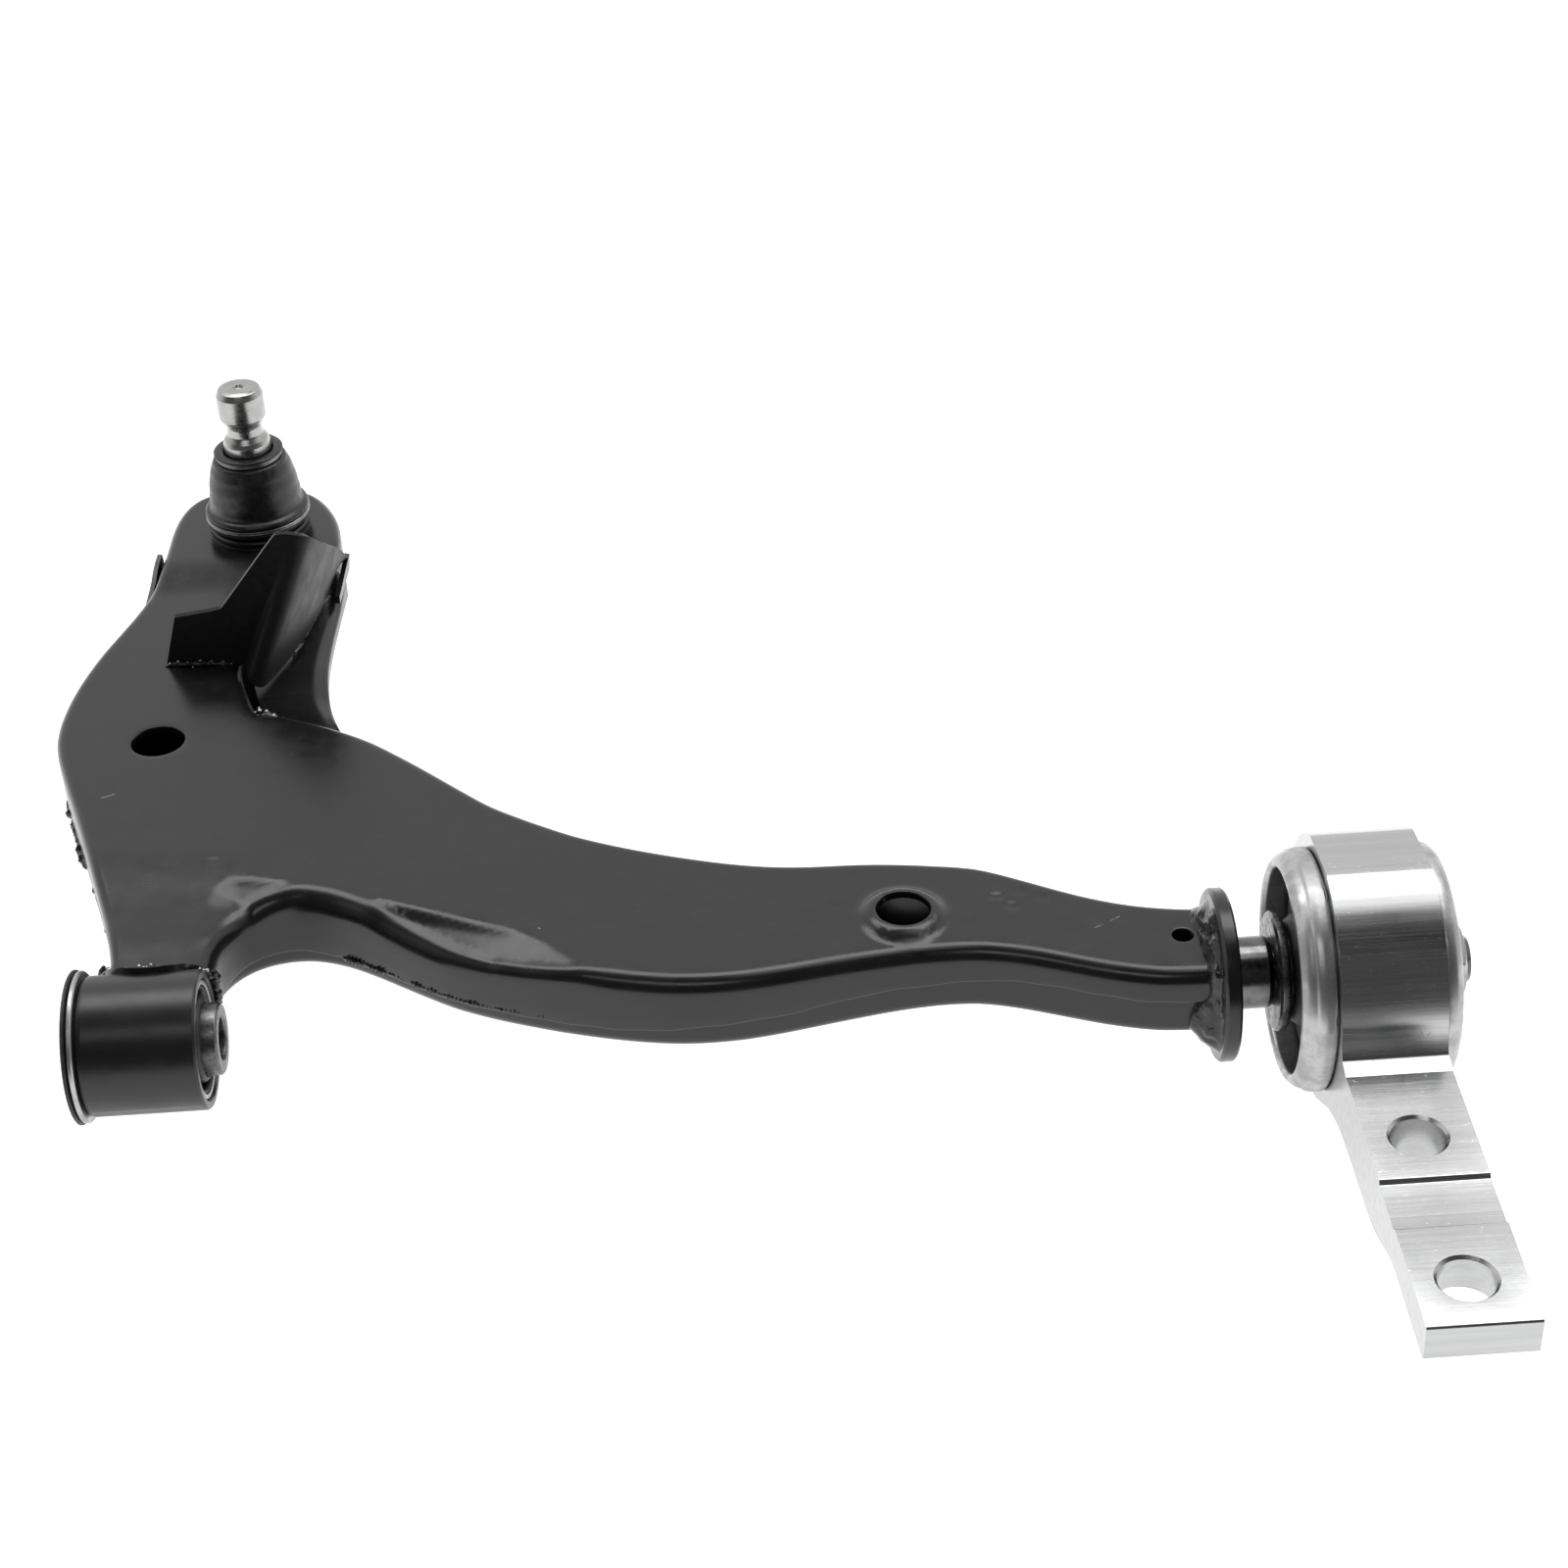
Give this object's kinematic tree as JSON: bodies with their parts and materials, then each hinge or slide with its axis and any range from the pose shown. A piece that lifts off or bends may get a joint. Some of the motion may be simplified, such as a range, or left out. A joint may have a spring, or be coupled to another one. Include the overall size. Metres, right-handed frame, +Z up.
{
  "type": "front lower control arm",
  "caption": "L-shaped pressed steel suspension arm with an upright ball-joint stud, a horizontal front bush and a rear bush in a bolt-on bracket.",
  "frame": {"origin": "centre of the bottom of the whole assembly's box, as it lies with the bracket's bolt pads level", "axes": "+X along the pivot axis from the front bush to the rear bush, +Y towards the ball joint, +Z up along the ball stud"},
  "size_m": [0.4946, 0.5112, 0.13],
  "materials": {
    "arm_paint": "gloss black electrocoat over pressed steel",
    "housing_paint": "gloss black electrocoat over turned steel",
    "weld_paint": "black electrocoat over a rough weld bead",
    "stud_steel": "ground bare steel",
    "bush_steel": "zinc-plated steel, satin",
    "pin_steel": "dark machined steel",
    "spring_steel": "plain spring steel",
    "bracket_alloy": "extruded aluminium, sawn ends",
    "rubber_black": "matt black rubber",
    "seat_polymer": "plain moulded polymer"
  },
  "bodies": {
    "arm": {"upper_shell": "arm_paint", "lower_shell": "arm_paint", "inner_side_plate": "arm_paint", "front_eye_tube": "arm_paint", "rear_flange": "arm_paint", "rear_pin": "pin_steel", "steering_stop": "arm_paint", "ball_housing": "housing_paint", "ball_seat_upper": "seat_polymer", "ball_seat_lower": "seat_polymer", "preload_spring": "spring_steel", "housing_cover": "spring_steel", "boot_bottom_ring": "spring_steel", "dust_boot": "rubber_black", "front_bush_outer_sleeve": "bush_steel", "front_bush_rubber": "rubber_black", "rear_bush_washer_front": "bush_steel", "rear_bush_inner_sleeve": "pin_steel", "rear_bush_rubber": "rubber_black", "rear_bush_washer_rear": "bush_steel", "pin_nut": "bush_steel", "weld_rear_flange": "weld_paint", "weld_front_eye": "weld_paint", "weld_steering_stop": "weld_paint"},
    "front_bush_core": {"front_bush_inner_sleeve": "bush_steel"},
    "rear_bracket_body": {"rear_bracket": "bracket_alloy", "rear_bush_outer_sleeve": "bush_steel"},
    "boot_neck": {"boot_top_ring": "spring_steel"},
    "stud": {"ball_stud": "stud_steel"}
  },
  "joints": [
    {"name": "front_bush_twist", "type": "hinge", "parent": "arm", "child": "front_bush_core", "pos_m": [-0.19425, -0.0899, 0.0455], "axis": [1, 0, 0], "range_deg": [-20, 20], "stiffness_Nm_per_rad": 35},
    {"name": "rear_bush_twist", "type": "hinge", "parent": "arm", "child": "rear_bracket_body", "pos_m": [0.21175, -0.0899, 0.0455], "axis": [1, 0, 0], "range_deg": [-20, 20], "stiffness_Nm_per_rad": 60},
    {"name": "ball_swing", "type": "hinge", "parent": "arm", "child": "boot_neck", "pos_m": [-0.18375, 0.2211, 0.0535], "axis": [1, 0, 0], "range_deg": [-18, 18], "deforming": ["dust_boot"]},
    {"name": "stud_spin", "type": "hinge", "parent": "boot_neck", "child": "stud", "pos_m": [-0.18375, 0.2211, 0.0535], "axis": [0, 0, 1], "continuous": true}
  ]
}
